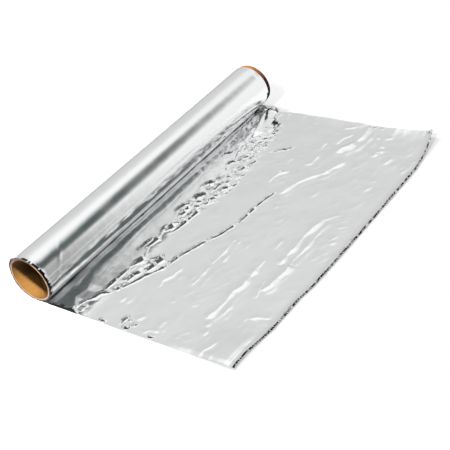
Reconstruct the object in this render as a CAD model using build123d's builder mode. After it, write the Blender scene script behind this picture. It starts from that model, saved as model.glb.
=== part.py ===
"""A household roll of aluminium foil lying on a table, with a length of foil pulled out from under it.

Frame: +Y runs along the roll, +X is the way the sheet is pulled, +Z is up and Z = 0 is the table.
The origin is the middle of the footprint. All sizes are in millimetres.
"""

import os

from build123d import *

# Cardboard core
core_bore = 36.5
core_wall = 1.5
core_length = 310.0
core_stand_out = 5.0  # core past the turns at the far end

# Wound foil
foil_width = 305.0  # width of the web, along the roll
wound_thickness = 1.0  # all the turns together, on the core

# Pulled-out sheet
sheet_thickness = 0.3  # stands in for foil of 0.016 mm
tear_reach_near = 192.0  # roll axis to the tear along the near edge
tear_reach_far = 199.0  # roll axis to the tear along the far edge
tooth_pitch = 2.1
tooth_depth = 0.9

# Pleat that stands up across the whole sheet, parallel to the roll
pleat_distance = 43.0  # roll axis to the crest
pleat_base = 9.0
pleat_height = 3.5

# Creases that fade out at both ends: each end is (from the roll axis, from the near edge)
crease_base = 8.0
crease_height = 2.4
crease_ends = (
    ((57.0, 32.0), (98.0, 150.0)),
    ((104.0, 182.0), (138.0, 246.0)),
    ((142.0, 36.0), (144.0, 104.0)),
    ((164.0, 72.0), (166.0, 154.0)),
)

# Corners of the sheet that are bent up off the table
far_corner_edge = 62.0  # corner to the bend, along the far edge
far_corner_tear = 55.0  # corner to the bend, along the tear
far_corner_angle = 9.0
near_corner_edge = 8.0
near_corner_tear = 38.0
near_corner_angle = 24.0

# Values that follow from the sizes above
core_radius = core_bore / 2 + core_wall
roll_radius = core_radius + wound_thickness
sheet_reach = max(tear_reach_near, tear_reach_far)
axis_x = (roll_radius - sheet_reach) / 2
trim = 4 * tooth_depth  # foil left past the tear until the teeth are cut
end_x = axis_x + sheet_reach + trim

# Ends along the roll, counted from the near foil edge and then moved so that their middle is Y = 0
core_far_rim = foil_width + core_stand_out
core_near_rim = core_far_rim - core_length
near_edge = -(min(0, core_near_rim) + max(foil_width, core_far_rim)) / 2
far_edge = near_edge + foil_width


def tear_x(y):
    """X of the tooth tips at a place along the roll, as the tear runs slightly askew."""
    share = (y - near_edge) / foil_width
    return axis_x + tear_reach_near + share * (tear_reach_far - tear_reach_near)


def on_table(from_axis, from_near_edge):
    """A point of the table, given from the roll's axis and from the sheet's near edge."""
    return Vector(axis_x + from_axis, near_edge + from_near_edge)


# Core: a plain open tube, cut square
with BuildPart() as core_tube:
    with BuildSketch(Plane.XZ.offset(-near_edge - core_far_rim)):
        with Locations((axis_x, roll_radius)):
            Circle(core_radius)
            Circle(core_bore / 2, mode=Mode.SUBTRACT)
    extrude(amount=core_length)
core_tube.part.label = "core_tube"

# Foil: the turns and the sheet that leaves them at the bottom are one continuous web
with BuildPart() as foil:
    with BuildSketch(Plane.XZ.offset(-far_edge)):
        with BuildLine():
            underside = Polyline(
                (axis_x, 0),
                (axis_x + pleat_distance - pleat_base / 2, 0),
                (axis_x + pleat_distance, pleat_height),
                (axis_x + pleat_distance + pleat_base / 2, 0),
                (end_x, 0),
            )
            offset(underside, amount=sheet_thickness, side=Side.LEFT, kind=Kind.INTERSECTION)
        make_face()
        with Locations((axis_x, roll_radius)):
            Circle(roll_radius)
            Circle(core_radius, mode=Mode.SUBTRACT)
    extrude(amount=foil_width)

    # Each crease is a long low roof over a hollow of the same form, one foil thickness below it
    for start, end in crease_ends:
        middle = (on_table(*start) + on_table(*end)) / 2
        along = on_table(*end) - on_table(*start)
        for top, mode in (
            (crease_height + sheet_thickness, Mode.ADD),
            (crease_height, Mode.SUBTRACT),
        ):
            half_run = along.length / 2 * top / crease_height
            half_base = crease_base / 2 * top / crease_height
            with BuildSketch(Plane(middle, x_dir=along), mode=Mode.PRIVATE) as footprint:
                Polygon((half_run, 0), (0, half_base), (-half_run, 0), (0, -half_base))
            crest = Vertex(middle.X, middle.Y, top)
            loft([footprint.sketch.face(), crest], mode=mode)

    # Each bent corner is cut free along its bend and put back tilted
    far_bend = (
        Vector(tear_x(far_edge) - far_corner_edge, far_edge),
        Vector(end_x, far_edge - far_corner_tear),
    )
    near_bend = (
        Vector(end_x, near_edge + near_corner_tear),
        Vector(tear_x(near_edge) - near_corner_edge, near_edge),
    )
    for (bend_from, bend_to), corner_y, angle in (
        (far_bend, far_edge, far_corner_angle),
        (near_bend, near_edge, near_corner_angle),
    ):
        with BuildSketch() as corner:
            Polygon(bend_from, bend_to, (end_x, corner_y), align=None)
        extrude(amount=sheet_thickness, mode=Mode.SUBTRACT)
        lifted = corner.sketch.face().rotate(Axis(bend_from, bend_to - bend_from), angle)
        extrude(lifted, amount=sheet_thickness)

    # The tear is one saw-toothed cut through the flat sheet and its lifted corners
    tooth_count = round(foil_width / tooth_pitch)
    tooth_step = foil_width / tooth_count
    tear_line = []
    for tooth in range(tooth_count):
        root_y = near_edge + tooth * tooth_step
        tip_y = root_y + tooth_step / 2
        tear_line.append((tear_x(root_y) - tooth_depth, root_y))
        tear_line.append((tear_x(tip_y), tip_y))
    tear_line.append((tear_x(far_edge) - tooth_depth, far_edge))
    with BuildSketch(Plane.XY.offset(-roll_radius)):
        with BuildLine():
            cut_to = end_x + sheet_reach
            Polyline(*tear_line, (cut_to, far_edge), (cut_to, near_edge), close=True)
        make_face()
    extrude(amount=2 * roll_radius, mode=Mode.SUBTRACT)
foil.part.label = "foil"

os.makedirs("parts", exist_ok=True)
export_step(core_tube.part, "parts/core_tube.step")
export_step(foil.part, "parts/foil.step")
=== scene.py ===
# %% [markdown]
# # A roll of kitchen foil, with a sheet pulled out across the table
# The object has two pieces: a cardboard tube, and one long web of aluminium foil that is wound on the
# tube and leaves it at the bottom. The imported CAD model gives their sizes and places. The tube's shape
# is right as it is and only needs its finish. The web in the CAD model is a plain solid, so here it
# becomes two Blender pieces, the tight turns on the tube and the loose creased sheet.

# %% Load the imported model
import math

import bpy
import numpy as np
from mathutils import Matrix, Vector, geometry


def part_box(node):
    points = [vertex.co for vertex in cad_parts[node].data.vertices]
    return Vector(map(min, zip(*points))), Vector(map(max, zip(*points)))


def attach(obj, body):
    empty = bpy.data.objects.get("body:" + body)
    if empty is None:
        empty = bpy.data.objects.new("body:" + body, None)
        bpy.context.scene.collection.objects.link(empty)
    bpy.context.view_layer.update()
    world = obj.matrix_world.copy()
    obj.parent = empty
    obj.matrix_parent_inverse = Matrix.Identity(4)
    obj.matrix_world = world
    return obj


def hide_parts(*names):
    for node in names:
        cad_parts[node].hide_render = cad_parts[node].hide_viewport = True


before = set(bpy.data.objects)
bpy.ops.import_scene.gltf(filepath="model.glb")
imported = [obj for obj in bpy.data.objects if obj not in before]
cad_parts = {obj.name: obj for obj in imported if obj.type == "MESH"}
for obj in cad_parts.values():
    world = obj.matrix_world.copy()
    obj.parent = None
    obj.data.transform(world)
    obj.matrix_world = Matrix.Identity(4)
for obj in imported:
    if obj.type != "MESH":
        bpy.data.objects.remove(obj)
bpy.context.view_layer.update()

core_low, core_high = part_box("core_tube")
foil_low, foil_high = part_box("foil")
MM = 0.001
axis_x = (core_low.x + core_high.x) / 2
axis_z = (core_low.z + core_high.z) / 2
core_radius = (core_high.z - core_low.z) / 2
roll_radius = axis_x - foil_low.x
near_edge, far_edge = foil_low.y, foil_high.y
web_width = far_edge - near_edge
print(f"roll {2000 * roll_radius:.1f} mm across, web {1000 * web_width:.0f} mm wide")

# %% [markdown]
# ## The camera
# The camera stands in front of the near end, above and to the right, and looks down the length of the
# roll. It leans to one side, so the roll climbs the picture more steeply than it would in a level one.
# Its place, turn and lens were found by fitting the roll's outlines, so they are written as they came.

# %% Camera
camera_place = (0.46386, -0.51865, 0.47323)
camera_turn_deg = (54.520, 11.161, 35.261)
camera_lens = 82.233

bpy.ops.object.select_all(action="DESELECT")
bpy.ops.object.camera_add(location=camera_place, rotation=[math.radians(a) for a in camera_turn_deg])
camera = bpy.context.object
camera.data.lens = camera_lens
camera.data.sensor_width = 36.0
bpy.context.scene.camera = camera
bpy.context.scene.view_settings.view_transform = "Standard"
print("camera lens", camera.data.lens, "mm")

# %% [markdown]
# ## The studio
# Bright metal has hardly any colour of its own: it shows the room. So the room is made with some care.
# Overhead is a large white softbox. Behind the roll is a light grey wall, on the side where the sheet
# ends stands a white panel, and the side of the camera is darker. A dim gap runs between the panel and
# the softbox: that gap is the dark band along the roll. The room is drawn in the world's nodes. For each
# side of the room there is a ramp of greys that goes from the horizon up to the softbox, and the compass
# direction says which side it is.


# %% Helpers for shader nodes
def add_node(tree, kind, inputs=None, **settings):
    """Adds a node to a tree, and sets its options and its plain inputs."""
    made = tree.nodes.new(kind)
    for name, value in settings.items():
        setattr(made, name, value)
    for name, value in (inputs or {}).items():
        made.inputs[name].default_value = value
    return made


def add_math(tree, operation, *inputs):
    """Adds a Math node, whose inputs are sockets or plain numbers."""
    made = add_node(tree, "ShaderNodeMath", operation=operation)
    for socket, value in zip(made.inputs, inputs):
        if hasattr(value, "links"):
            tree.links.new(value, socket)
        else:
            socket.default_value = value
    return made.outputs[0]


def add_ramp(tree, factor, stops):
    """Adds a Color Ramp with stops given as (position, grey or colour)."""
    made = add_node(tree, "ShaderNodeValToRGB")
    elements = made.color_ramp.elements
    while len(elements) < len(stops):
        elements.new(0.5)
    for element, (position, colour) in zip(elements, stops):
        element.position = position
        element.color = (*colour, 1.0) if hasattr(colour, "__len__") else (colour, colour, colour, 1.0)
    tree.links.new(factor, made.inputs["Fac"])
    return made.outputs["Color"]


def smooth_share(tree, value, low, high):
    """0 below low, 1 above high, and smooth between."""
    limits = {"From Min": low, "From Max": high}
    made = add_node(tree, "ShaderNodeMapRange", limits, interpolation_type="SMOOTHSTEP")
    tree.links.new(value, made.inputs["Value"])
    return made.outputs["Result"]


def mix_colours(tree, share, first, second):
    """Mixes two colours, each a socket or a colour."""
    made = add_node(tree, "ShaderNodeMix", data_type="RGBA")
    tree.links.new(share, made.inputs["Factor"])
    for name, value in (("A", first), ("B", second)):
        socket = next(s for s in made.inputs if s.name == name and s.type == "RGBA")
        if hasattr(value, "links"):
            tree.links.new(value, socket)
        else:
            socket.default_value = (*value, 1.0)
    return next(s for s in made.outputs if s.type == "RGBA")


def add_noise(tree, place, scale, detail, roughness=0.5):
    """Adds a noise texture and gives its grey."""
    settings = {"Scale": scale, "Detail": detail, "Roughness": roughness}
    made = add_node(tree, "ShaderNodeTexNoise", settings)
    tree.links.new(place, made.inputs["Vector"])
    return made.outputs["Fac"]


def add_bump(tree, height, strength, distance):
    """Adds a bump from a height and gives its node."""
    made = add_node(tree, "ShaderNodeBump", {"Strength": strength, "Distance": distance})
    tree.links.new(height, made.inputs["Height"])
    return made


def new_material(name, inputs):
    """Makes a material, and gives it with its tree, its finish and the Object coordinates."""
    made = bpy.data.materials.new(name)
    made.use_nodes = True
    tree = made.node_tree
    finish = tree.nodes["Principled BSDF"]
    for socket, value in inputs.items():
        finish.inputs[socket].default_value = value
    return made, tree, finish, add_node(tree, "ShaderNodeTexCoord").outputs["Object"]


# %% World
world = bpy.data.worlds.new("pale_studio")
bpy.context.scene.world = world
world.use_nodes = True
room = world.node_tree
room.nodes.clear()

direction = add_node(room, "ShaderNodeTexCoord").outputs["Generated"]
parts = add_node(room, "ShaderNodeSeparateXYZ")
room.links.new(direction, parts.inputs[0])
up = parts.outputs["Z"]
compass = add_math(room, "ARCTAN2", parts.outputs["Y"], parts.outputs["X"])


def room_side(*stops):
    """One side of the room: greys by the sine of the height above the horizon."""
    return add_ramp(room, up, stops)


def past_angle(start_deg, end_deg):
    """Share that grows from 0 to 1 between two compass directions."""
    return smooth_share(room, compass, math.radians(start_deg), math.radians(end_deg))


dim = (0.085, 0.105, 0.105)
softbox = ((0.83, 0.34), (0.90, 1.06))
back_low = ((0.0, 0.56), (0.12, 0.63), (0.30, 0.69), (0.50, 0.69))
back_high = ((0.61, 0.745), (0.68, 0.76), (0.74, 0.86), (0.80, 0.98), (0.88, 1.06))
back_wall = room_side(*back_low, *back_high)
bright_low = ((0.0, 0.60), (0.30, 0.69), (0.52, 0.70))
bright_wall = room_side(*bright_low, (0.58, 0.80), (0.66, 0.90), (0.74, 0.96), (0.82, 1.05))
dark_low = ((0.0, 0.10), (0.04, 0.55), (0.18, 0.50))
dark_corner = room_side(*dark_low, (0.34, 0.14), (0.48, 0.04), (0.76, 0.04), *softbox)
camera_low = ((0.0, 0.10), (0.04, 0.60), (0.20, 0.55), (0.38, 0.30))
camera_side = room_side(*camera_low, (0.54, 0.18), (0.64, 0.08), (0.76, 0.08), *softbox)
gap_low = ((0.0, 0.36), (0.28, 0.33), (0.45, 0.22))
dim_gap = room_side(*gap_low, (0.58, 0.12), (0.68, dim), (0.76, dim), *softbox)

# The panel's upper edge climbs from one compass direction on.
panel_from, panel_level, panel_slope = math.radians(41), math.radians(44), 0.40
panel_stops = ((0.0, 0.96), (0.44, 1.0), (0.50, 0.72), (0.533, 0.46), (0.57, 0.22), (0.61, dim))
panel_turn = add_math(room, "MAXIMUM", compass, panel_from)
panel_turn = add_math(room, "SUBTRACT", panel_turn, panel_level)
panel_climb = add_math(room, "MULTIPLY", panel_turn, panel_slope)
panel = add_ramp(room, add_math(room, "SUBTRACT", up, panel_climb), panel_stops)
white_panel = mix_colours(room, smooth_share(room, up, 0.76, 0.90), panel, (1.06, 1.06, 1.06))

room_turns = (
    # compass directions in degrees between which a side comes in
    (-172, -152, dark_corner),
    (-112, -92, camera_side),
    (-42, -24, dim_gap),
    (29.5, 36.5, white_panel),
    (69, 103, bright_wall),
    (112, 126, back_wall),
)
studio = back_wall
for start, end, side in room_turns:
    studio = mix_colours(room, past_angle(start, end), studio, side)
light_path = add_node(room, "ShaderNodeLightPath")
shown = mix_colours(room, light_path.outputs["Is Camera Ray"], studio, (1.0, 1.0, 1.0))
background = add_node(room, "ShaderNodeBackground")
room.links.new(shown, background.inputs["Color"])
room_out = add_node(room, "ShaderNodeOutputWorld")
room.links.new(background.outputs[0], room_out.inputs["Surface"])
print("studio drawn with", len(room.nodes), "nodes")

# %% [markdown]
# ## Floor and lamps
# The table is plain white and has to keep the soft shadow. It is a diffuse surface, which takes the
# shadow, plus a little glow of its own that brings the lit part to white. The glow is only for what the
# camera sees, in the open or in a reflection, so it puts no extra light on the object. Two softboxes throw
# the soft shadows, and a narrow lamp with a snoot lights the inside of the core. The lamps are kept out of
# the reflections, where the drawn room is enough.

# %% Floor
floor_size = 0.46
floor_x = -0.04
floor_gap = 0.1 * MM
floor_diffuse = 0.50
floor_glow = 0.36

bpy.ops.object.select_all(action="DESELECT")
bpy.ops.mesh.primitive_plane_add(size=floor_size, location=(floor_x, 0.0, -floor_gap))
floor = bpy.context.object
floor.name = "table"
table = bpy.data.materials.new("white_table")
table.use_nodes = True
tree = table.node_tree
tree.nodes.clear()
light_path = add_node(tree, "ShaderNodeLightPath")
seen = add_math(tree, "MAXIMUM", light_path.outputs["Is Camera Ray"], light_path.outputs["Is Glossy Ray"])
seen = add_math(tree, "MAXIMUM", seen, light_path.outputs["Is Transmission Ray"])
matte = add_node(tree, "ShaderNodeBsdfDiffuse")
matte.inputs["Color"].default_value = (floor_diffuse, floor_diffuse, floor_diffuse, 1.0)
glow = add_node(tree, "ShaderNodeEmission")
tree.links.new(add_math(tree, "MULTIPLY", seen, floor_glow), glow.inputs["Strength"])
both = add_node(tree, "ShaderNodeAddShader")
tree.links.new(matte.outputs[0], both.inputs[0])
tree.links.new(glow.outputs[0], both.inputs[1])
tree.links.new(both.outputs[0], add_node(tree, "ShaderNodeOutputMaterial").inputs["Surface"])
floor.data.materials.append(table)
print("table", floor_size, "m wide")


# %% Lamps
softbox_away, softbox_size, softbox_watts = 1.2, 0.2, 8.0
snoot_toward, snoot_away = Vector((0.50, -0.25, 0.83)), 0.9
snoot_deg, snoot_blend, snoot_size, snoot_watts = 6.0, 0.3, 0.04, 260.0


def add_lamp(name, kind, place, facing):
    """Adds a lamp that shines along a direction and is not mirrored."""
    turn = facing.to_track_quat("-Z", "Y").to_euler()
    bpy.ops.object.light_add(type=kind, location=place, rotation=turn)
    lamp = bpy.context.object
    lamp.name = name
    lamp.visible_glossy = False
    return lamp


for name, toward in (("key_softbox", (-0.62, 0.16, 0.77)), ("front_softbox", (0.0, -0.60, 0.80))):
    place = Vector(toward).normalized() * softbox_away
    lamp = add_lamp(name, "AREA", place, -place)
    lamp.data.shape = "SQUARE"
    lamp.data.size = softbox_size
    lamp.data.energy = softbox_watts

bore_mouth = Vector((axis_x, near_edge, axis_z))
snoot_place = bore_mouth + snoot_toward.normalized() * snoot_away
snoot = add_lamp("bore_snoot", "SPOT", snoot_place, -snoot_toward)
snoot.data.spot_size = math.radians(snoot_deg)
snoot.data.spot_blend = snoot_blend
snoot.data.shadow_soft_size = snoot_size
snoot.data.energy = snoot_watts
print("two softboxes of", softbox_watts, "W and a snoot of", snoot_watts, "W")

# %% [markdown]
# ## The cardboard core
# The core is wound from strips of kraft board, so a fine seam runs round it in a long spiral, inside and
# out. The board is warm brown, with darker and lighter fibres. Outside it has painted light and shade:
# it is lighter on top and near-black towards the table. The cut ends show the pale middle of the board.
# The CAD tube stays as it is: one material tells inside, outside and cut end apart by the distance from
# the roll's axis, which it reads from the Object coordinates.

# %% Core board
core_wall, skin_depth = 1.5 * MM, 0.1 * MM
bore_radius = core_radius - core_wall
strip_width = 72 * MM  # along the tube, from seam to seam
seam_place = 0.78  # where the seam meets the near end, as a share of a turn

board, tree, finish, place = new_material("kraft_board", {"Roughness": 0.85, "Specular IOR Level": 0.25})
from_axis = add_node(tree, "ShaderNodeMapping", {"Location": (-axis_x, 0.0, -axis_z)})
tree.links.new(place, from_axis.inputs["Vector"])
parts = add_node(tree, "ShaderNodeSeparateXYZ")
tree.links.new(from_axis.outputs[0], parts.inputs[0])
across_sq = add_math(tree, "POWER", parts.outputs["X"], 2.0)
up_sq = add_math(tree, "POWER", parts.outputs["Z"], 2.0)
radius = add_math(tree, "SQRT", add_math(tree, "ADD", across_sq, up_sq))
inside = add_math(tree, "LESS_THAN", radius, bore_radius + skin_depth)
outside = add_math(tree, "GREATER_THAN", radius, core_radius - skin_depth)
skin = add_math(tree, "MAXIMUM", inside, outside)

fibres = add_noise(tree, from_axis.outputs[0], 900.0, 6.0, roughness=0.65)
kraft_stops = ((0.25, (0.048, 0.020, 0.005)), (0.50, (0.086, 0.041, 0.011)), (0.78, (0.12, 0.064, 0.022)))
kraft = add_ramp(tree, fibres, kraft_stops)
cut_stops = ((0.25, (0.11, 0.055, 0.030)), (0.50, (0.21, 0.135, 0.090)), (0.78, (0.27, 0.20, 0.155)))
cut_end = add_ramp(tree, fibres, cut_stops)
around = add_math(tree, "ARCTAN2", parts.outputs["Z"], parts.outputs["X"])
climb = add_math(tree, "DIVIDE", parts.outputs["Y"], strip_width)
turned = add_math(tree, "ADD", add_math(tree, "DIVIDE", around, 2 * math.pi), seam_place)
spiral = add_math(tree, "FRACT", add_math(tree, "ADD", climb, turned))
seam_gap = add_math(tree, "ABSOLUTE", add_math(tree, "SUBTRACT", spiral, 0.5))
seam = smooth_share(tree, seam_gap, 0.004, 0.018)
seamed = mix_colours(tree, seam, (0.055, 0.024, 0.007), kraft)
# Painted light and shade outside: the board is painted lighter on top and near-black towards the table.
painted_edge_ragged = 4 * MM  # how far the fibres make the edge of the painted shade ragged
painted_height = add_math(tree, "ADD", parts.outputs["Z"], add_math(tree, "MULTIPLY", fibres, painted_edge_ragged))
painted_share = add_math(tree, "DIVIDE", painted_height, 2 * core_radius)
painted_shade_stops = ((0.05, (0.012, 0.008, 0.007)), (0.28, (0.10, 0.022, 0.010)))
painted_light_stops = ((0.50, (0.36, 0.13, 0.035)), (0.58, (0.55, 0.24, 0.07)))
painted_light_and_shade = add_ramp(tree, painted_share, (*painted_shade_stops, *painted_light_stops))
sides = mix_colours(tree, outside, seamed, painted_light_and_shade)
tree.links.new(mix_colours(tree, skin, cut_end, sides), finish.inputs["Base Color"])
height = add_math(tree, "ADD", fibres, add_math(tree, "MULTIPLY", seam, 1.5))
bump = add_bump(tree, height, 0.35, 0.15 * MM)
tree.links.new(bump.outputs[0], finish.inputs["Normal"])

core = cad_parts["core_tube"]
core.data.materials.clear()
core.data.materials.append(board)
print("core:", len(core.data.polygons), "faces, bore", 2000 * bore_radius, "mm")

# %% [markdown]
# ## Foil finishes
# Household foil is rolled two sheets at a time in the last pass. The sides that touch the rolls come out
# bright, the sides that touch each other come out satin. The rolls leave hair-fine lines along the web,
# so they run round the turns and away from the roll on the sheet: in both cases they only change with
# the place along the roll, which is Y. The finish is a metal with its roughness and a very low bump. Where
# many edges lie on each other, and where the metal is torn, it is broken up into specks. Most of the specks
# are painted near-black: painted shade for the crevices between the edges and the dark line along the tear.


# %% Foil finish
bright_grey, dull_grey = (0.93, 0.935, 0.935), (0.90, 0.905, 0.91)


def foil_finish(name, roughness, line_height, crinkle_height):
    """A rolled aluminium finish: smudged roughness, fine rolling lines and low crinkles."""
    made, tree, finish, place = new_material(name, {"Metallic": 1.0})
    smudges = add_noise(tree, place, 60.0, 4.0)
    limits = {"From Min": 0.3, "From Max": 0.7, "To Min": roughness * 0.8, "To Max": roughness * 1.2}
    spread = add_node(tree, "ShaderNodeMapRange", limits)
    tree.links.new(smudges, spread.inputs["Value"])
    tree.links.new(spread.outputs["Result"], finish.inputs["Roughness"])
    tone = add_ramp(tree, smudges, ((0.3, dull_grey), (0.7, bright_grey)))
    tree.links.new(tone, finish.inputs["Base Color"])
    along = add_node(tree, "ShaderNodeMapping", {"Scale": (12.0, 2400.0, 12.0)})
    tree.links.new(place, along.inputs["Vector"])
    lines = add_bump(tree, add_noise(tree, along.outputs[0], 1.0, 3.0), 0.25, line_height)
    cells = add_node(tree, "ShaderNodeTexVoronoi", {"Scale": 80.0, "Detail": 1.5})
    tree.links.new(place, cells.inputs["Vector"])
    crinkles = add_bump(tree, cells.outputs["Distance"], 1.0, crinkle_height)
    tree.links.new(lines.outputs[0], crinkles.inputs["Normal"])
    tree.links.new(crinkles.outputs[0], finish.inputs["Normal"])
    return made


def edge_finish(name, roughness, scale, stops):
    """A foil edge: broken-up metal in dark and light specks, the dark ones painted shade."""
    made, tree, finish, place = new_material(name, {"Metallic": 1.0, "Roughness": roughness})
    specks = add_noise(tree, place, scale, 4.0)
    tree.links.new(add_ramp(tree, specks, stops), finish.inputs["Base Color"])
    bump = add_bump(tree, specks, 0.3, 0.02 * MM)
    tree.links.new(bump.outputs[0], finish.inputs["Normal"])
    return made


satin_foil = foil_finish("satin_foil", 0.17, 0.008 * MM, 0.03 * MM)
bright_foil = foil_finish("bright_foil", 0.11, 0.006 * MM, 0.09 * MM)
# The stacked edges are painted near-black: painted shade for the crevices between the turns.
stacked_edge_shade_stops = ((0.35, 0.003), (0.62, 0.010), (0.80, 0.10))
stacked_edge_shade = edge_finish("stacked_edges_painted_shade", 0.45, 1500.0, stacked_edge_shade_stops)
# The torn finish is mostly near-black: torn metal, with painted shade for the dark line along the tear.
torn_foil_painted_shade = edge_finish("torn_foil_painted_shade", 0.30, 420.0, ((0.41, 0.006), (0.48, 0.04), (0.55, 0.75)))
print("finishes:", satin_foil.name, bright_foil.name, stacked_edge_shade.name, torn_foil_painted_shade.name)

# %% [markdown]
# ## The turns on the core
# The turns are a sleeve round the core, only a millimetre thick. Its section is a thin strip: one long
# edge lies on the core, the other is the face that shows. The strip starts as a plane, its outer edge is
# divided finely, its face is taken away, and the outline is spun once round the roll's axis. The ends
# are divided too, so that some turns can stand a little proud of others.

# %% Spin the sleeve
spin_steps = 240
length_cuts, end_cuts = (11, 13), 4
sleeve_thickness = roll_radius - core_radius

bpy.ops.object.select_all(action="DESELECT")
strip_middle = (axis_x + core_radius + sleeve_thickness / 2, (near_edge + far_edge) / 2, axis_z)
bpy.ops.mesh.primitive_plane_add(size=1.0, location=strip_middle)
turns = bpy.context.object
turns.name = "wound_foil"
turns.scale = (sleeve_thickness, web_width, 1.0)
bpy.ops.object.transform_apply(location=True, rotation=True, scale=True)


def select_edges(obj, wanted):
    """Selects the edges whose two end points both pass the test."""
    bpy.ops.object.mode_set(mode="EDIT")
    bpy.ops.mesh.select_mode(type="EDGE")
    bpy.ops.mesh.select_all(action="DESELECT")
    bpy.ops.object.mode_set(mode="OBJECT")
    points = obj.data.vertices
    for edge in obj.data.edges:
        edge.select = all(wanted(points[i].co) for i in edge.vertices)
    bpy.ops.object.mode_set(mode="EDIT")


tiny = 0.01 * MM
select_edges(turns, lambda p: p.x > axis_x + roll_radius - tiny)
for cuts in length_cuts:
    bpy.ops.mesh.subdivide(number_cuts=cuts)
for end in (near_edge, far_edge):
    select_edges(turns, lambda p: abs(p.y - end) < tiny)
    bpy.ops.mesh.subdivide(number_cuts=end_cuts)
bpy.ops.mesh.select_all(action="SELECT")
bpy.ops.mesh.delete(type="ONLY_FACE")
bpy.ops.mesh.select_all(action="SELECT")
spin_centre, spin_axis = (axis_x, 0.0, axis_z), (0.0, 1.0, 0.0)
bpy.ops.mesh.spin(steps=spin_steps, angle=2 * math.pi, center=spin_centre, axis=spin_axis)
bpy.ops.mesh.select_all(action="SELECT")
bpy.ops.mesh.remove_doubles(threshold=tiny / 2)
bpy.ops.mesh.normals_make_consistent(inside=False)
bpy.ops.object.mode_set(mode="OBJECT")
print("sleeve:", len(turns.data.polygons), "faces")

# %% [markdown]
# A wound web is never quite true. At the near end the last turns stand out a little at the top and have
# slipped back on the side of the sheet, where the edge is also nicked. The surface has faint hollows and
# one fine wrinkle. These are moves of single points, as with a sculpting brush, so they are done in code
# on all the points at once.


# %% Wear on the turns, and painted shade at their rims
def kinked_noise(where, step, seed):
    """Straight-sided random waves from -1 to 1, one knot every step, as creased foil has."""
    first, last = math.floor(where.min() / step) - 1, math.ceil(where.max() / step) + 1
    knots = np.arange(first, last + 1) * step
    heights = np.random.default_rng(seed).uniform(-1.0, 1.0, len(knots))
    return np.interp(where, knots, heights)


def read_points(obj):
    points = np.empty(len(obj.data.vertices) * 3)
    obj.data.vertices.foreach_get("co", points)
    return points.reshape(-1, 3)


def write_points(obj, points):
    obj.data.vertices.foreach_set("co", points.ravel())
    obj.data.update()


def share_past(value, start, run):
    """0 up to the start and 1 from one run further on, or further back if the run is negative."""
    return np.clip((value - start) / run, 0.0, 1.0)


def bump_at(value, centre, width):
    """1 at the centre, fading smoothly to 0 at one width from it."""
    share = np.clip(np.abs(value - centre) / width, 0.0, 1.0)
    return 1.0 - share * share * (3.0 - 2.0 * share)


def smooth_piece(obj, angle_deg):
    """Smooths a piece, apart from edges that are sharper than an angle."""
    bpy.ops.object.select_all(action="DESELECT")
    obj.select_set(True)
    bpy.context.view_layer.objects.active = obj
    bpy.ops.object.shade_smooth_by_angle(angle=math.radians(angle_deg))


is_end_face = np.array([abs(face.normal.y) > 0.9 for face in turns.data.polygons])
points = read_points(turns)
offset_x, offset_z = points[:, 0] - axis_x, points[:, 2] - axis_z
distance = np.hypot(offset_x, offset_z)
angle_deg = np.degrees(np.arctan2(offset_z, offset_x))
outer_share = np.clip((distance - core_radius) / sleeve_thickness, 0.0, 1.0)

overhang, slip, nick = 1.3 * MM, 1.3 * MM, 0.7 * MM
turn_step, ragged_reach = 0.35 * MM, 3.0 * MM
top_share = bump_at(angle_deg, 100.0, 75.0)
side_share = bump_at(angle_deg, 5.0, 55.0)
jags = kinked_noise(angle_deg, 5.0, seed=3)
ragged = -overhang * top_share + slip * side_share + nick * jags * (0.3 + side_share)
turn_shift = turn_step * np.sin(outer_share * 5 * math.pi)
nearness = np.exp(-(points[:, 1] - near_edge) / ragged_reach)
points[:, 1] += nearness * (ragged * outer_share + turn_shift)

seam_back, seam_run, seam_step = 5.0 * MM, 1.5 * MM, 0.12 * MM  # the outermost turn ends before the far edge
hollow_depth, hollow_length = 0.05 * MM, 34 * MM
wrinkle_height, wrinkle_width, wrinkle_start = 0.16 * MM, 1.6 * MM, 20 * MM
flare_height, flare_reach = 0.45 * MM, 1.2 * MM
far_share = share_past(points[:, 1], far_edge - seam_back, seam_run)
hollow_side = np.sin(np.radians(2 * angle_deg + 40))
hollow = hollow_depth * kinked_noise(points[:, 1], hollow_length, seed=8) * hollow_side
wrinkle_y = near_edge + wrinkle_start + (angle_deg - 30.0) * 0.33 * MM
wrinkle = wrinkle_height * bump_at(points[:, 1], wrinkle_y, wrinkle_width) * bump_at(angle_deg, 35.0, 40.0)
flare = flare_height * np.exp(-(points[:, 1] - near_edge) / flare_reach) * (0.8 + 0.5 * jags)
radial = outer_share * (hollow + wrinkle + flare - seam_step * far_share)
points[:, 0] += radial * offset_x / distance
points[:, 2] += radial * offset_z / distance
write_points(turns, points)

turns.data.materials.append(satin_foil)
turns.data.materials.append(stacked_edge_shade)
# The end faces get the dark edge finish. So do the near rim on the side of the sheet and at the top, and the
# lower side of the far rim. This is painted shade for the crevices between the turns and for the shaded far
# end.
rim_width = 1.8 * MM
middles = np.array([face.center for face in turns.data.polygons])
middle_deg = np.degrees(np.arctan2(middles[:, 2] - axis_z, middles[:, 0] - axis_x))
near_rim, far_rim = middles[:, 1] < near_edge + rim_width, middles[:, 1] > far_edge - rim_width
near_rim_shade_breaks = kinked_noise(middle_deg, 4.0, seed=5) > -0.2
near_rim_shade = near_rim & (np.abs(middle_deg - 25.0) < 70.0) & near_rim_shade_breaks
far_rim_shade = far_rim & (middle_deg > -85.0) & (middle_deg < -8.0)
turns.data.polygons.foreach_set("material_index", (is_end_face | near_rim_shade | far_rim_shade).astype(int))
smooth_piece(turns, 35)
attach(turns, "root")
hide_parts("foil")
print("turns reach from", round(float(points[:, 1].min()) * 1000, 1), "mm")
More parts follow.
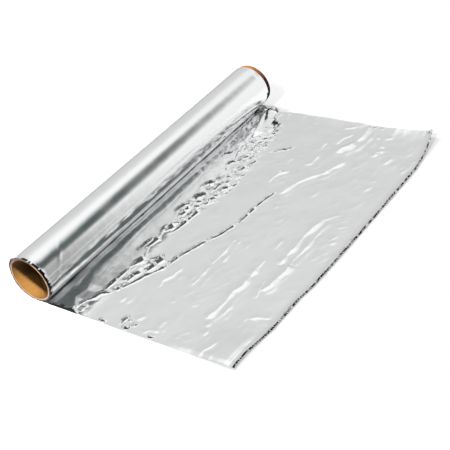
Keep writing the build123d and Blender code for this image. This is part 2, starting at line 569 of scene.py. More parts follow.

# %% [markdown]
# ## The sheet: where it is folded
# The loose sheet is one layer of foil from the roll's lowest line to the tear. Foil keeps every fold it
# was given, so a cloth simulation, which springs back, is the wrong tool: the folds are listed one by one.
# Each line is given as points on the table, in millimetres from the roll's axis and from the near edge,
# with the height of its crest. Bold folds have a steep dark face. In the crumpled part small ones lie
# between them, all in much the same direction, so those are thrown with dice.

# %% Bold folds
bold_folds = (
    # line, crest
    (((44, 25), (44.5, 43), (46, 62)), 1.0),
    (((46, 61), (48, 70), (51.5, 77)), 2.6),
    (((51, 74), (57, 77), (66.5, 84)), 1.3),
    (((42.5, 84), (42.5, 90), (43, 98), (44, 104)), 1.7),
    (((37, 79), (38, 92), (40.5, 101)), 1.2),
    (((42, 108), (45, 114), (47, 124)), 2.6),
    (((43.5, 102), (40, 114), (39, 120)), 1.1),
    (((49, 108), (51.5, 120), (52.5, 132), (53, 146)), 1.5),
    (((33, 1), (38, 14), (44, 24)), 1.0),
    (((37, 13), (41.5, 19), (45, 27), (53, 31)), 1.9),
    (((39, 8.5), (45, 9.5)), 0.9),
    (((40, 3), (45, 6)), 0.9),
    (((51, 32), (55.5, 38)), 1.7),
    (((54, 33), (57, 40), (60, 45), (62, 51), (64, 57), (68, 63), (71.5, 69), (74, 75)), 1.4),
    (((73, 72), (74.5, 80), (75.5, 86), (77.5, 92), (80, 98), (82, 105), (85, 112)), 1.4),
    (((54.5, 45), (54.5, 53), (57, 58), (57, 65)), 2.2),
    (((56, 66), (57.5, 75)), 1.0),
    (((61, 60), (63, 71), (64.5, 83)), 2.6),
    (((74, 75), (74.5, 83)), 1.0),
    (((84, 109), (90, 122), (95.5, 140)), 1.2),
    (((95, 137), (96, 148), (96.5, 156), (97, 165), (98, 174), (100, 182), (101.5, 190)), 0.9),
    (((35.5, 156), (41, 161), (45.5, 168)), 3.0),
    (((33.5, 134), (34, 140), (35.5, 146), (41, 151)), 1.5),
    (((40, 137), (43.5, 146)), 1.8),
    (((53, 151), (54, 157)), 1.2),
    (((50, 158), (53, 159), (56.5, 165)), 1.7),
    (((49.5, 163), (52, 165), (57, 168.5)), 1.4),
    (((32.5, 172), (36.5, 180), (42.5, 185)), 2.2),
    (((47, 170), (47.5, 177), (48, 184), (49, 190)), 1.0),
    (((52, 170), (55, 178), (59.5, 182)), 1.8),
    (((23, 216), (25, 224), (30.5, 231)), 1.7),
    (((17.5, 240), (21, 246)), 1.3),
    (((35.5, 207), (37, 215), (41, 217)), 1.6),
    (((51.5, 204), (54.5, 214)), 1.4),
    (((46, 197), (52, 204)), 1.2),
    (((57, 196), (61, 203)), 0.9),
    (((41.5, 233), (46.5, 238.5)), 1.1),
    (((50.5, 231), (50.5, 238)), 0.8),
    (((61, 238), (69, 243.5), (75, 249), (80, 255.5)), 0.9),
    (((34, 257), (42, 264)), 0.9),
    (((46, 262), (50, 269)), 0.8),
    (((38, 110), (43, 112.5), (48.5, 117)), 1.5),
    (((41.5, 119), (45, 121), (49, 125)), 1.0),
    (((41, 129.5), (42, 135), (43.5, 141)), 1.3),
    (((45, 128), (48.5, 134)), 1.0),
    (((46, 146), (50, 150)), 1.0),
    (((43, 152), (48, 156)), 1.1),
    (((49.5, 183), (54, 190)), 1.0),
    (((46, 192.5), (51, 195)), 0.9),
    (((40, 186), (43.5, 192)), 1.1),
    (((82.5, 3), (82.5, 10), (84, 16)), 1.0),
    (((90, 0), (92, 6), (97, 10.5)), 1.1),
    (((85, 2.2), (92.5, 2.6)), 1.5),
    (((110.5, 1.6), (116, 2)), 1.4),
    (((62, 2), (70.5, 2.4)), 0.9),
    (((85, 9), (89, 11.5)), 0.8),
    (((131, 301), (134.5, 304)), 0.7),
    (((138, 300.5), (141.5, 303.5)), 0.7),
    (((118, 299), (121.5, 302)), 0.6),
    (((183.5, 300.5), (187, 303.5)), 0.7),
)

# %% Light creases
light_creases = (
    # line, crest
    (
        ((106.5, 186), (108, 194), (112, 207), (116, 214), (121, 220), (126, 226), (129.5, 236), (135, 248)),
        0.8,
    ),
    (((101.5, 231), (107, 234), (107.5, 243), (107.5, 251)), 0.5),
    (((104, 254), (103, 262), (102.5, 275), (110, 279)), 0.45),
    (((113, 267), (114, 279), (120, 288)), 0.6),
    (((120, 256), (122, 264), (126, 269), (128, 276), (129.5, 284), (129, 294), (127.5, 304)), 1.3),
    (((88, 198), (87, 207), (89.5, 213), (96.5, 219)), 0.75),
    (((98, 199), (100, 206)), 0.4),
    (((86, 220), (86.5, 229), (87, 240)), 0.4),
    (((100, 283), (109, 287)), 0.4),
    (((105, 293), (118, 299)), 0.5),
    (((73, 291), (77.5, 298)), 0.4),
    (((155.5, 260), (152.5, 269), (154, 271)), 1.0),
    (((153, 267), (159.5, 271)), 0.9),
    (((151, 274), (156, 278)), 0.8),
    (((141, 286), (146, 289)), 0.5),
    (((148.5, 287), (157.5, 294)), 0.6),
    (((167.5, 251), (171, 265)), 0.5),
    (((187, 244), (190.5, 253.5), (190, 268)), 0.7),
    (((170, 212), (173.5, 222)), 0.4),
    (((166.5, 225), (175, 228.5)), 0.4),
    (((140, 34), (142, 45), (143, 56), (141.5, 67.5), (144.5, 75), (144, 84.5), (143, 97), (143, 109)), 0.8),
    (((149, 40), (150, 49), (149, 57), (150.5, 66)), 0.45),
    (((150.5, 17), (149, 28)), 0.6),
    (((143.5, 25), (147.5, 34)), 0.4),
    (((168.5, 35), (168, 43.5), (168, 49)), 0.45),
    (((169, 46), (175, 50), (185, 53.5)), 0.55),
    (((162.5, 67), (160, 74), (155.5, 90)), 0.5),
    (((160, 75), (164, 83), (164.5, 93), (166, 101.5), (164, 111)), 1.0),
    (((162.5, 109), (165, 121), (165.5, 131), (165.5, 139), (165.5, 156)), 0.65),
    (((157, 107), (156.5, 121), (157, 130), (156, 148), (158, 159), (160, 171)), 0.85),
    (((160, 167), (164.5, 174), (171, 178.5)), 0.4),
    (((175, 161), (182.5, 167.5)), 0.5),
    (((177.5, 144), (182, 155)), 0.5),
    (((179.5, 141), (185, 147.5)), 0.4),
    (((176.5, 119), (180.5, 127), (184.5, 134)), 0.45),
    (((176, 134), (178.5, 145)), 0.4),
    (((143, 121), (143.5, 137)), 0.3),
    (((84.5, 49), (82, 57.5), (86, 65), (87.5, 77)), 0.55),
    (((103, 63), (103.5, 75), (102, 88)), 0.35),
    (((107.5, 60), (107.5, 78), (107, 88)), 0.5),
    (((106.5, 88), (107, 98), (107, 106), (106.5, 124)), 0.55),
    (((113.5, 92), (114, 104), (111.5, 115), (110.5, 123)), 0.45),
    (((116.5, 80), (115.5, 92)), 0.4),
    (((66, 22), (67.5, 33)), 0.45),
    (((72, 23), (73, 29), (72.5, 37)), 0.4),
    (((91, 11), (93, 15.5), (97.5, 20)), 0.45),
    (((105.5, 2), (108, 7), (117, 10)), 0.5),
    (((113.5, 11), (113, 23)), 0.45),
    (((131.5, 7), (133, 13), (139.5, 19.5)), 0.4),
    (((158.5, -1), (159.5, 6.5), (162, 11), (164, 18)), 0.5),
    (((112, 166), (116.5, 174)), 0.4),
    (((106.5, 176), (113.5, 178.5)), 0.4),
    (((118, 51), (121, 57)), 0.4),
    (((126, 150), (128, 162)), 0.3),
    (((133, 190), (137, 204)), 0.35),
    (((120, 110), (121, 124)), 0.3),
)

# %% Small folds
small_count, speckle_count = 54, 14
crumple_along = (145, 175, 200, 220, 240, 262)
crumple_middle = (52.0, 53.0, 51.0, 45.0, 40.0, 38.0)
crumple_spread = (3.0, 4.0, 6.0, 8.0, 9.0, 7.0)
dice = np.random.default_rng(77)


def throw_fold(a, b, headings_deg, reaches, crests):
    """A short straight fold that starts at a point."""
    heading, reach = math.radians(dice.uniform(*headings_deg)), dice.uniform(*reaches)
    end = (a + reach * math.sin(heading), b + reach * math.cos(heading))
    return ((a, b), end), dice.uniform(*crests)


small_folds = []
for _ in range(small_count):
    b = dice.uniform(148, 264)
    middle, spread = np.interp(b, crumple_along, crumple_middle), np.interp(b, crumple_along, crumple_spread)
    a = middle + spread * dice.uniform(-1.4, 1.4)
    small_folds.append(throw_fold(a, b, (16, 42), (8.0, 18.0), (0.6, 1.3)))
for _ in range(speckle_count):
    a, b = dice.uniform(30, 46), dice.uniform(271, 299)
    small_folds.append(throw_fold(a, b, (25, 75), (2.5, 5.0), (0.5, 0.9)))
bold_scale = 1.45
dark_folds = tuple((line, bold_scale * crest) for line, crest in bold_folds) + tuple(small_folds)
print(len(bold_folds), "bold folds,", len(small_folds), "small ones")

# %% [markdown]
# ## The sheet: a grid that is finer at the folds
# The sheet starts as a grid of a single layer, because foil is thinner than anything that a picture can
# show. Its columns are half a tooth of the cutter wide, so that the tear can be made from them. The faces
# near a fold are then divided once more.

# %% Grid of the sheet
tooth_count = 145
column_count = 2 * tooth_count
row_spans = (
    # from, to, rows: millimetres from the roll's axis
    (0.0, 8.0, 3),
    (8.0, 34.0, 24),
    (34.0, 104.0, 62),
    (104.0, 184.0, 66),
    (184.0, 197.5, 12),
    (197.5, 199.0, 1),  # the teeth
)
tear_along = (0, 15, 30, 45, 80, 95, 145, 214, 255, 276, 296, 305)
tear_out = (189.5, 189.5, 191.0, 193.0, 193.5, 195.5, 196.5, 197.0, 197.0, 194.5, 191.0, 188.0)
stretch_from = 104.0

row_places = [0.0]
for start, end, count in row_spans:
    row_places += [start + (end - start) * (i + 1) / count for i in range(count)]
row_places = np.array(row_places)
row_count = len(row_places) - 1

bpy.ops.object.select_all(action="DESELECT")
bpy.ops.mesh.primitive_grid_add(x_subdivisions=row_count, y_subdivisions=column_count, size=1.0)
sheet = bpy.context.object
sheet.name = "foil_sheet"

points = read_points(sheet)
width_mm = web_width / MM
along_mm = (points[:, 1] + 0.5) * width_mm  # from the near edge
out_mm = row_places[np.rint((points[:, 0] + 0.5) * row_count).astype(int)]  # from the roll's axis
tear_mm = np.interp(along_mm, tear_along, tear_out)
past = share_past(out_mm, stretch_from, row_places[-1] - stretch_from)
out_mm = np.where(out_mm > stretch_from, stretch_from + past * (tear_mm - stretch_from), out_mm)
points[:, 0], points[:, 1] = out_mm * MM, along_mm * MM
write_points(sheet, points)
print("sheet grid:", row_count, "rows,", column_count, "columns")


# %% Distance to a line
def along_line(line, a, b):
    """Signed distance (positive away from the roll), way along, length, and which way the line faces."""
    best = np.full(len(a), 1e9)
    signed, travelled, turn = np.zeros(len(a)), np.zeros(len(a)), np.zeros(len(a))
    done = 0.0
    for (a0, b0), (a1, b1) in zip(line, line[1:]):
        run = math.hypot(a1 - a0, b1 - b0)
        ua, ub = (a1 - a0) / run, (b1 - b0) / run
        t = np.clip((a - a0) * ua + (b - b0) * ub, 0.0, run)
        da, db = a - a0 - t * ua, b - b0 - t * ub
        gap = np.hypot(da, db)
        nearer = gap < best
        best = np.where(nearer, gap, best)
        signed = np.where(nearer, np.where(da * ub - db * ua >= 0, gap, -gap), signed)
        travelled = np.where(nearer, done + t, travelled)
        turn = np.where(nearer, math.degrees(math.atan2(ua, ub)), turn)
        done += run
    return signed, travelled, done, turn


# %% Divide the faces near the folds
fold_margin, run_share = 1.6, 1.3  # a face runs on for a share of its crest
crease_behind, crease_front, crease_end = 1.0, 2.0, 186.0
divided_crest = 0.5  # lower creases need no finer mesh
centres = np.empty(len(sheet.data.polygons) * 3)
sheet.data.polygons.foreach_get("center", centres)
face_out, face_along = centres.reshape(-1, 3)[:, 0] / MM, centres.reshape(-1, 3)[:, 1] / MM
divided = np.zeros(len(face_out), bool)
for line, crest in dark_folds:
    signed = along_line(line, face_out, face_along)[0]
    divided |= (signed > -fold_margin) & (signed < fold_margin + run_share * crest)
for line, crest in light_creases:
    if crest >= divided_crest:
        signed = along_line(line, face_out, face_along)[0]
        divided |= (signed > -crease_behind) & (signed < crease_front) & (face_out < crease_end)
near_patch = (face_along < 7.0) & (face_out > 9.0) & (face_out < 48.0)
far_patch = (face_along > 292.0) & (face_out > 6.0) & (face_out < 46.0)
divided |= near_patch | far_patch

bpy.ops.object.mode_set(mode="EDIT")
bpy.ops.mesh.select_mode(type="FACE")
bpy.ops.mesh.select_all(action="DESELECT")
bpy.ops.object.mode_set(mode="OBJECT")
sheet.data.polygons.foreach_set("select", divided)
bpy.ops.object.mode_set(mode="EDIT")
bpy.ops.mesh.subdivide(number_cuts=1)
bpy.ops.object.mode_set(mode="OBJECT")
points = read_points(sheet)
out_mm, along_mm = points[:, 0] / MM, points[:, 1] / MM
tear_mm = np.interp(along_mm, tear_along, tear_out)
is_tear = np.abs(out_mm - tear_mm) < 0.01
column = np.rint(along_mm / width_mm * column_count).astype(int)
on_edge = (along_mm < 0.01) | (along_mm > width_mm - 0.01) | is_tear
print(int(divided.sum()), "faces divided")

# %% [markdown]
# ## The sheet: the profile of a fold
# A fold in foil has a sharp crest with a steep face on one side. Which way a face looks decides what it
# mirrors. An easy slope away from the roll mirrors the white softbox. A face of 40 to 50 degrees mirrors
# the dim gap and turns dark. A crest is only sharp where the mesh has points on it, so the points close to
# the crest, and those close to the foot of its face, are first pulled onto these lines.

# %% Profile
turn_deg = (-30.0, -10.0, 0.0, 8.0, 15.0, 30.0, 45.0, 60.0, 90.0)
dark_deg = (36.0, 42.0, 44.0, 46.5, 49.0, 51.0, 51.0, 50.0, 43.0)
foot_slope, foot_share = math.tan(math.radians(12)), 0.22
pull_reach, pull_crest = 0.27, 0.2
back_run, back_share = 2.0, 0.9  # the slope behind a crest
rise_run, rise_share = 9.0, 0.55  # a fold grows slowly from its start
fall_run, fall_share = 5.0, 0.33  # and ends sooner


def steep_slope(turn):
    """Slope of a face that mirrors the dim gap."""
    return np.tan(np.radians(np.interp(turn, turn_deg, dark_deg)))


def stray(travelled, seed, jitter):
    """How a crest strays from its line: long bends, with shorter ones on them."""
    return kinked_noise(travelled, 4.3, seed) + jitter * kinked_noise(travelled, 1.9, seed + 1)


def eased(where, places, values):
    """Values joined by smooth steps instead of straight lines."""
    index = np.clip(np.searchsorted(places, where) - 1, 0, len(places) - 2)
    places, values = np.array(places, float), np.array(values, float)
    t = np.clip((where - places[index]) / (places[index + 1] - places[index]), 0.0, 1.0)
    return values[index] + (values[index + 1] - values[index]) * t * t * (3.0 - 2.0 * t)


def fold_places(line, crest, seed):
    """For each point: distance to the crest, its height, the run of its face, and the way it faces."""
    signed, travelled, length, turn = along_line(line, out_mm, along_mm)
    signed = signed + 0.2 * stray(travelled, seed, 0.15)
    growing = travelled / min(rise_run, rise_share * length)
    ending = (length - travelled) / min(fall_run, fall_share * length)
    ends = np.clip(np.minimum(growing, ending), 0.0, 1.0)
    top = crest * ends * (0.8 + 0.28 * kinked_noise(travelled, 3.1, seed + 2))
    run = top * (1.0 - foot_share) / steep_slope(turn)
    return signed, top, run, turn


def falling_face(signed, top, run):
    """Height in front of a crest: a steep face, then an easy foot."""
    steep = top - (1.0 - foot_share) * top * signed / np.maximum(run, 1e-6)
    return np.maximum(steep, top * foot_share - (signed - run) * foot_slope)


# %% Pull points onto crests and feet
pull_count = 0
for index, (line, crest) in enumerate(dark_folds):
    for at_foot in (False, True):
        signed, top, run, turn = fold_places(line, crest, 20 + 5 * index)
        gap = signed - run * at_foot
        pulled = (np.abs(gap) < pull_reach) & (top > pull_crest) & ~on_edge
        out_mm = np.where(pulled, out_mm - gap * np.cos(np.radians(turn)), out_mm)
        along_mm = np.where(pulled, along_mm + gap * np.sin(np.radians(turn)), along_mm)
        pull_count += int(pulled.sum())
print(pull_count, "pulls")

# %% Heights of the folds
folds = np.zeros(len(out_mm))
for index, (line, crest) in enumerate(dark_folds):
    signed, top, run, _ = fold_places(line, crest, 20 + 5 * index)
    behind = top * (1.0 + signed / (back_run + back_share * crest))
    folds = np.maximum(folds, np.where(signed > 0, falling_face(signed, top, run), behind))
print("folds up to", round(float(folds.max()), 1), "mm")

# %% [markdown]
# ## The sheet: the apron beside the roll
# Pulled foil keeps some of the curl of the roll. Beside the roll it leaves the turns almost flat, bends at
# a soft ridge, and falls into a shallow trough before the first fold. Its slopes matter more than its
# heights: the apron mirrors the underside of the roll, where two degrees decide between black and white.
# So the slopes are what is chosen, every few millimetres along the roll, and the heights are their sum.

# %% Slopes of the apron
ridge_along = (0, 8, 15, 25, 40, 60, 80, 100, 120, 140, 200, 305)
ridge_out = (35.0, 35.0, 28.0, 31.0, 27.0, 25.5, 25.5, 21.5, 21.0, 23.0, 21.0, 21.0)
climb_along = (0, 8, 15, 25, 40, 55)
climb_deg = (8.0, 8.0, 5.0, 7.0, 2.0, 0.0)  # up to the ridge, at the near end only
climb_from = 19.0
fall_along = (0, 30, 50, 90, 120, 190, 225, 305)
fall_deg = (4.0, 4.0, 7.0, 7.0, 5.0, 4.0, 1.0, 0.0)  # beyond the ridge
trough_out, trough_end, trough_deg = 38.0, 46.0, 3.0  # where it turns up again, and how steeply
bend_before, bend_after, bend_end, fall_end = 1.0, 2.0, 5.0, 6.0  # from the ridge
bend_share, full_fall = 0.75, 4.0  # a fall of this many degrees has the whole trough
rung, station_gap = 0.25, 2.5

rungs = np.arange(0.0, trough_end + rung, rung)
stations = np.arange(0.0, width_mm + station_gap, station_gap)
ladder = np.zeros((len(stations), len(rungs)))
for index, b in enumerate(stations):
    ridge, fall = np.interp(b, ridge_along, ridge_out), np.interp(b, fall_along, fall_deg)
    climb = np.interp(b, climb_along, climb_deg)
    fall_stop = max(trough_out, ridge + fall_end)
    bend = (ridge - bend_before, ridge, ridge + bend_after, ridge + bend_end)
    places = (climb_from, *bend, fall_stop, trough_end)
    turned_up = -trough_deg * min(fall / full_fall, 1.0)
    degrees = (0.0, -climb, 0.0, bend_share * fall, fall, 0.0, turned_up)
    slope = np.tan(np.radians(np.interp(rungs, places, degrees)))
    heights = np.cumsum(slope[::-1])[::-1] * rung
    ladder[index] = heights - heights.min()
print("apron slopes on", len(stations), "stations of", len(rungs), "rungs")

# %% Apron
apron_edge = (
    (34, -4), (37, 15), (44, 27), (44.5, 43), (46, 62), (48, 71), (51, 76), (46.5, 80), (43.5, 88),
    (42, 97), (43, 103), (42, 110), (46, 114), (46, 124), (38, 133), (35, 140), (36, 147), (41, 151),
    (36, 157), (41, 161), (45, 167), (35, 172), (34, 175), (38, 181), (43, 185), (46.5, 190), (42, 200),
    (36, 212), (32, 228), (29, 250), (26, 275), (23, 309),
)
apron_along = (0, 30, 60, 110, 170, 215, 305)
apron_height = (0.3, 0.2, 0.1, 0.1, 0.2, 0.4, 0.3)


def apron_top(a, b):
    """Height of the apron, read between the stations and the rungs."""
    across = np.clip(a / rung, 0.0, len(rungs) - 1.001)
    along = np.clip(b / station_gap, 0.0, len(stations) - 1.001)
    i, j = along.astype(int), across.astype(int)
    t, u = along - i, across - j
    before = ladder[i, j] * (1.0 - u) + ladder[i, j + 1] * u
    beyond = ladder[i + 1, j] * (1.0 - u) + ladder[i + 1, j + 1] * u
    return eased(b, apron_along, apron_height) + before * (1.0 - t) + beyond * t


signed, _, _, turn = along_line(apron_edge, out_mm, along_mm)
past_edge = np.clip(signed, 0.0, None)
edge_a = out_mm - past_edge * np.cos(np.radians(turn))
edge_b = np.clip(along_mm + past_edge * np.sin(np.radians(turn)), 0.0, width_mm)
top = apron_top(edge_a, edge_b)
apron = np.where(signed > 0, falling_face(signed, top, top / steep_slope(turn)), top)
radius_mm = roll_radius / MM
roll_under = radius_mm - np.sqrt(np.clip(radius_mm**2 - out_mm**2, 0.0, None))
room_share = 0.85  # of the room under the roll
apron = np.minimum(np.clip(apron, 0.0, None), room_share * roll_under)
print("apron up to", round(float(apron.max()), 1), "mm")

# %% [markdown]
# ## The sheet: light creases
# Further out the sheet was only pulled straight. Its creases have no steep face, only an easy slope that
# mirrors the softbox, and the faint ones hardly any. Creases come in families: beside a long one runs a
# shorter, lower one.


# %% One light crease
def crease(line, crest, face_deg, seed, uneven=0.25, fade=6.0):
    """Height of a crease whose face starts at an angle and eases out, in millimetres."""
    signed, travelled, length, _ = along_line(line, out_mm, along_mm)
    signed = signed + 0.4 * stray(travelled, seed, 0.4)
    ends = np.clip(np.minimum(travelled, length - travelled) / min(fade, length / 2), 0.0, 1.0)
    top = crest * ends * (1.0 - uneven + uneven * kinked_noise(travelled, 6.0, seed + 2))
    run = np.maximum(2.0 * top / math.tan(math.radians(face_deg)), 1e-6)
    front = top * np.clip(1.0 - signed / run, 0.0, 1.0) ** 2
    behind = top * (1.0 + signed / crease_back)
    return np.clip(np.where(signed > 0, front, behind), 0.0, None)


# %% Lay on the light creases
light_deg, beside_deg, faint_deg = 18.0, 12.0, 8.0
light_scale, beside_share, beyond_share = 1.5, 0.4, 0.55
crease_back = 6.0
companion_gap, beyond_gap = 3.4, 1.6
beside_shift, beyond_shift = 9.0, 12.0
creases = np.zeros(len(out_mm))
dice = np.random.default_rng(400)
for index, (line, crest) in enumerate(light_creases):
    seed = 200 + 5 * index
    gap, start = companion_gap * dice.uniform(0.7, 1.6), dice.uniform(0.2, 0.5)
    beside = tuple((a - gap, b + start * beside_shift) for a, b in line)
    beyond = tuple((a + beyond_gap * gap, b - start * beyond_shift) for a, b in line)
    creases = np.maximum(creases, crease(line, light_scale * crest, light_deg, seed, 0.4, fade=4.0))
    creases = np.maximum(creases, crease(beside, beside_share * crest, beside_deg, seed + 1, 0.4))
    creases = np.maximum(creases, crease(beyond, beyond_share * crest, beside_deg, seed + 2, 0.4))

faint_count = 150
for index in range(faint_count):
    start = np.array((dice.uniform(62, 186), dice.uniform(2, 299)))
    heading = math.radians(dice.normal(16, 26))
    reach = dice.uniform(6, 24)
    end = start + reach * np.array((math.sin(heading), math.cos(heading)))
    crest = dice.uniform(0.10, 0.30)
    faint = crease((tuple(start), tuple(end)), crest, faint_deg, 600 + 3 * index, fade=7.0)
    creases = np.maximum(creases, faint)
print(len(light_creases), "light creases,", faint_count, "faint ones")

# %% [markdown]
# ## The sheet: facets
# Between its folds crumpled foil is made of flat facets. Random points with random heights, joined into
# triangles, give just that. Each net of facets is read off at the grid's points and laid on with a
# strength that is high in the crumpled part and close to nothing elsewhere.


# %% Nets of facets
def facet_net(long_mm, short_mm, lean_deg, seed):
    """Heights from -1 to 1 on a random net of flat facets, longer along one direction."""
    dice = np.random.default_rng(seed)
    lean = math.radians(lean_deg)
    along_dir = np.array((math.sin(lean), math.cos(lean)))
    across_dir = np.array((math.cos(lean), -math.sin(lean)))
    reach = 420.0
    knots = []
    for i in np.arange(-reach, reach, long_mm):
        for j in np.arange(-reach, reach, short_mm):
            shift = dice.uniform(-0.48, 0.48, 2)
            spot = along_dir * (i + shift[0] * long_mm) + across_dir * (j + shift[1] * short_mm)
            if -15 < spot[0] < 220 and -15 < spot[1] < width_mm + 15:
                knots.append(spot)
    knots = np.array(knots)
    heights = dice.uniform(-1.0, 1.0, len(knots))
    triangles = geometry.delaunay_2d_cdt([Vector(k) for k in knots], [], [], 0, 1e-6)[2]
    made = np.zeros(len(out_mm))
    order = np.argsort(along_mm, kind="stable")
    sorted_along = along_mm[order]
    for triangle in triangles:
        (ax, ay), (bx, by), (cx, cy) = (knots[i] for i in triangle)
        first = np.searchsorted(sorted_along, min(ay, by, cy), "left")
        last = np.searchsorted(sorted_along, max(ay, by, cy), "right")
        spots = order[first:last]
        x = out_mm[spots]
        close = (x >= min(ax, bx, cx)) & (x <= max(ax, bx, cx))
        spots = spots[close]
        if not len(spots):
            continue
        x, y = out_mm[spots], along_mm[spots]
        area = (by - cy) * (ax - cx) + (cx - bx) * (ay - cy)
        if abs(area) < 1e-9:
            continue
        u = ((by - cy) * (x - cx) + (cx - bx) * (y - cy)) / area
        v = ((cy - ay) * (x - cx) + (ax - cx) * (y - cy)) / area
        within = (u >= -1e-9) & (v >= -1e-9) & (u + v <= 1 + 1e-9)
        h = heights[list(triangle)]
        made[spots[within]] = (u * h[0] + v * h[1] + (1 - u - v) * h[2])[within]
    return made


coarse = facet_net(14.0, 4.5, 8.0, seed=41)
fine = facet_net(7.0, 2.8, 24.0, seed=42)
broad = facet_net(30.0, 18.0, 20.0, seed=43)
print("three nets of facets over", len(out_mm), "points")

# %% Where the facets lie
crumple_line = ((47, 122), (45, 160), (48, 200), (42, 240), (38, 270), (34, 304))
crumple_width = np.interp(along_mm, (118, 150, 190, 230, 260, 305), (5, 10, 14, 19, 17, 14))
from_crumple = np.abs(along_line(crumple_line, out_mm, along_mm)[0])
crumple = np.clip(1.3 - from_crumple / crumple_width, 0.0, 1.0) * share_past(along_mm, 118, 20)
branch_line, branch_width = ((50, 30), (57, 50), (66, 75), (78, 95)), 6.0
beside_branch = np.exp(-((along_line(branch_line, out_mm, along_mm)[0] / branch_width) ** 2))
beside_roll = share_past(out_mm, 30.0, -6.0)
near_strip = beside_roll * share_past(along_mm, 48.0, -16.0)
far_strip = beside_roll * share_past(along_mm, 186.0, 22.0)
facet_places = (
    # where, height of the coarse net, height of the fine net
    (crumple, 0.4, 0.4),
    (beside_branch, 0.15, 0.05),
    (near_strip, 0.14, 0.02),
    (far_strip, 0.12, 0.12),
)
facets = sum(share * (high * coarse + low * fine) for share, high, low in facet_places)
broad_wave, coarse_wave = 0.22, 0.08
calm = 1.0 - 0.9 * share_past(out_mm, 40.0, -6.0)
waves = calm * (broad_wave * (broad + 1.0) + coarse_wave * (coarse + 1.0))
print("crumpled share of the sheet:", round(float((crumple > 0.3).mean()), 2))

# %% [markdown]
# At the far end the web has a flap beside the roll, which falls away from it in one easy slope and mirrors
# the softbox. With it all the heights can be put together. On the steep faces the facets are left out,
# because they would break up what these mirror.

# %% Flap, and all heights together
flap_line = ((33, 254), (22.5, 288), (20, 306))
flap_height, flap_start, flap_back = 3.0, 9.0, 1.6
flap_slope = math.tan(math.radians(15))
signed, travelled, _, _ = along_line(flap_line, out_mm, along_mm)
flap_top = flap_height * share_past(travelled, 0.0, flap_start)
flap = np.where(signed > 0, flap_top - signed * flap_slope, flap_top * (1.0 + signed / flap_back))
flap = np.clip(flap, 0.0, None)
quiet = 1.0 - 0.92 * share_past(np.maximum(flap, folds), 0.0, 0.5)
rise = np.maximum(np.maximum(apron, folds), flap)
rise = rise + creases * (1.0 - np.clip(folds, 0.0, 1.0)) + waves
rise = rise + quiet * facets * share_past(out_mm, 9.0, 4.0)
print("sheet up to", round(float(rise.max()), 1), "mm")

# %% [markdown]
# ## The sheet: edges and the tear
# The long edges of the web are cut clean, so they only bend. At the near end of the apron the edge is
# pressed down and looks like a dark hem, at the far end it curls up a little beside the roll, and the far
# corner lifts. The tear follows the saw teeth of a cutter. It was pulled up over the blade, so the edge
# stands a millimetre off the table, and its teeth are bent down again. Their faces are torn metal, painted
# near-black in specks as painted shade for the dark line along the lifted edge.

# %% Near edge
hem_out = (9, 13, 18, 24, 30, 36, 39, 42, 47)
hem_height = (0.0, 1.0, 1.5, 1.7, 1.8, 2.1, 1.5, 0.4, 0.0)
hem_slope, hem_back = math.tan(math.radians(41)), 3.0
round_height, round_run = 0.8, 3.2  # the edge is rounded further out
lip_out = (150.0, 181.0, 184.0, 185.0, 190.0)
lip_height = (0.0, 1.9, 1.4, 0.95, 0.0)
hem_top = np.interp(out_mm, hem_out, hem_height) * (1.0 + 0.1 * kinked_noise(out_mm, 2.6, seed=75))
hem_run = hem_top / hem_slope
hem = np.minimum(along_mm * hem_slope, hem_top * (1.0 - (along_mm - hem_run) / hem_back))
pressed = share_past(hem_top, 0.0, 1.2)
rise = rise * (1.0 - pressed * (1.0 - share_past(along_mm, 0.0, np.maximum(hem_run, 0.1))))
rise = np.maximum(rise, np.minimum(hem, room_share * roll_under + 0.3))
edge_round = share_past(out_mm, 128.0, 20.0) * eased(along_mm, (0.0, 40.0), (1.0, 0.0))
rise = rise + round_height * edge_round * share_past(along_mm, 0.0, round_run)
rise = rise + eased(along_mm, (16.0, 46.0), (1.0, 0.0)) * np.interp(out_mm, lip_out, lip_height)
print("hem up to", round(float(hem_top.max()), 1), "mm")

# %% Far edge
curl_height, curl_from, curl_run = 3.6, 301.0, 4.0
corner_height, corner_power = 6.0, 1.6
curl_out = np.maximum(bump_at(out_mm, 12.0, 7.0), 0.8 * bump_at(out_mm, 26.0, 5.0))
rise = rise + curl_height * share_past(along_mm, curl_from, curl_run) * np.clip(2.0 * curl_out, 0.0, 1.0)
rise = np.where(out_mm < radius_mm, np.minimum(rise, 0.95 * roll_under), rise)
draw_in = 2.0 * eased(out_mm, (30.0, 46.0), (1.0, 0.0)) * eased(along_mm, (285.0, 303.0), (0.0, 1.0))
far_corner = np.clip((out_mm - 150.0) / 42.0 + (along_mm - 305.0) / 40.0, 0.0, 1.0)
rise = rise + corner_height * far_corner**corner_power
long_wave, short_wave = kinked_noise(out_mm, 17.0, seed=71), kinked_noise(out_mm, 4.5, seed=74)
edge_wave = 0.9 * (1.0 + long_wave) + 0.3 * (1.0 + short_wave)
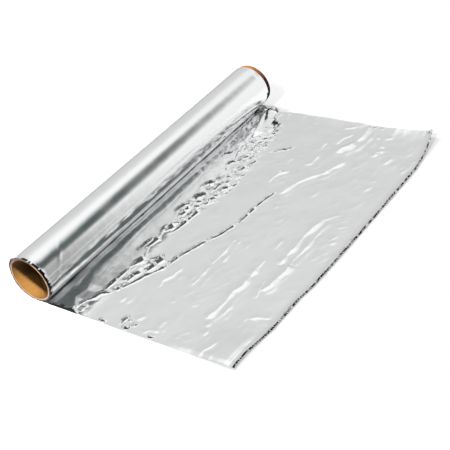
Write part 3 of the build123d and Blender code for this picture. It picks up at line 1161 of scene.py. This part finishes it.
wave_share = share_past(along_mm, 291.0, 14.0) ** 2 * share_past(out_mm, 45.0, 20.0)
rise = rise + edge_wave * wave_share
print("far corner lifted by", corner_height, "mm")

# %% Saw-toothed tear
lip_run, lip_top = 6.0, 1.6
tooth_row = row_places[-1] - row_places[-2]
tooth_run = tooth_row * (tear_mm - stretch_from) / (row_places[-1] - stretch_from)
from_tear = np.clip((tear_mm - tooth_run - out_mm) / lip_run, 0.0, 1.0)
rise = rise + lip_top * (1.0 + 0.15 * kinked_noise(along_mm, 9.0, seed=73)) * (1.0 - from_tear) ** 2
is_root = is_tear & (column % 2 == 0)
dice = np.random.default_rng(72)


def uneven(size):
    """A random amount for each point, up to a size either way."""
    return size * dice.uniform(-1, 1, len(out_mm))


tooth_depth = 0.8 + uneven(0.2)
tooth_lean = uneven(0.3)
beads = kinked_noise(along_mm, 4.0, seed=79)  # in places the teeth are pressed down further
root_drop = 0.65 + 0.20 * beads + uneven(0.15)
tip_drop = 1.00 + 0.25 * beads + uneven(0.15)
out_mm = np.where(is_root, out_mm - tooth_depth, out_mm)
along_mm = np.where(is_tear & ~is_root, along_mm + tooth_lean, along_mm) - draw_in
rise = np.where(is_tear, rise - np.where(is_root, root_drop, tip_drop), rise)

points[:, 0] = axis_x + out_mm * MM
points[:, 1] = near_edge + np.clip(along_mm, 0.0, width_mm) * MM
points[:, 2] = np.clip(rise, 0.0, None) * MM
write_points(sheet, points)
print("tear from", round(float(tear_mm.min()), 1), "to", round(float(tear_mm.max()), 1), "mm from the axis")

# %% Finish and place
shaded_tear_end = 288.0  # beyond it the tear is not painted dark
# The teeth up to there get the torn finish: torn metal, painted near-black as shade along the lifted edge.
torn_and_shaded = is_tear & (along_mm < shaded_tear_end)
torn_and_shaded_faces = [any(torn_and_shaded[i] for i in face.vertices) for face in sheet.data.polygons]
sheet.data.materials.append(bright_foil)
sheet.data.materials.append(torn_foil_painted_shade)
sheet.data.polygons.foreach_set("material_index", np.array(torn_and_shaded_faces).astype(int))
smooth_piece(sheet, 14)
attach(sheet, "root")
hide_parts("foil")
sheet.data.calc_loop_triangles()
print("sheet:", len(sheet.data.loop_triangles), "triangles")
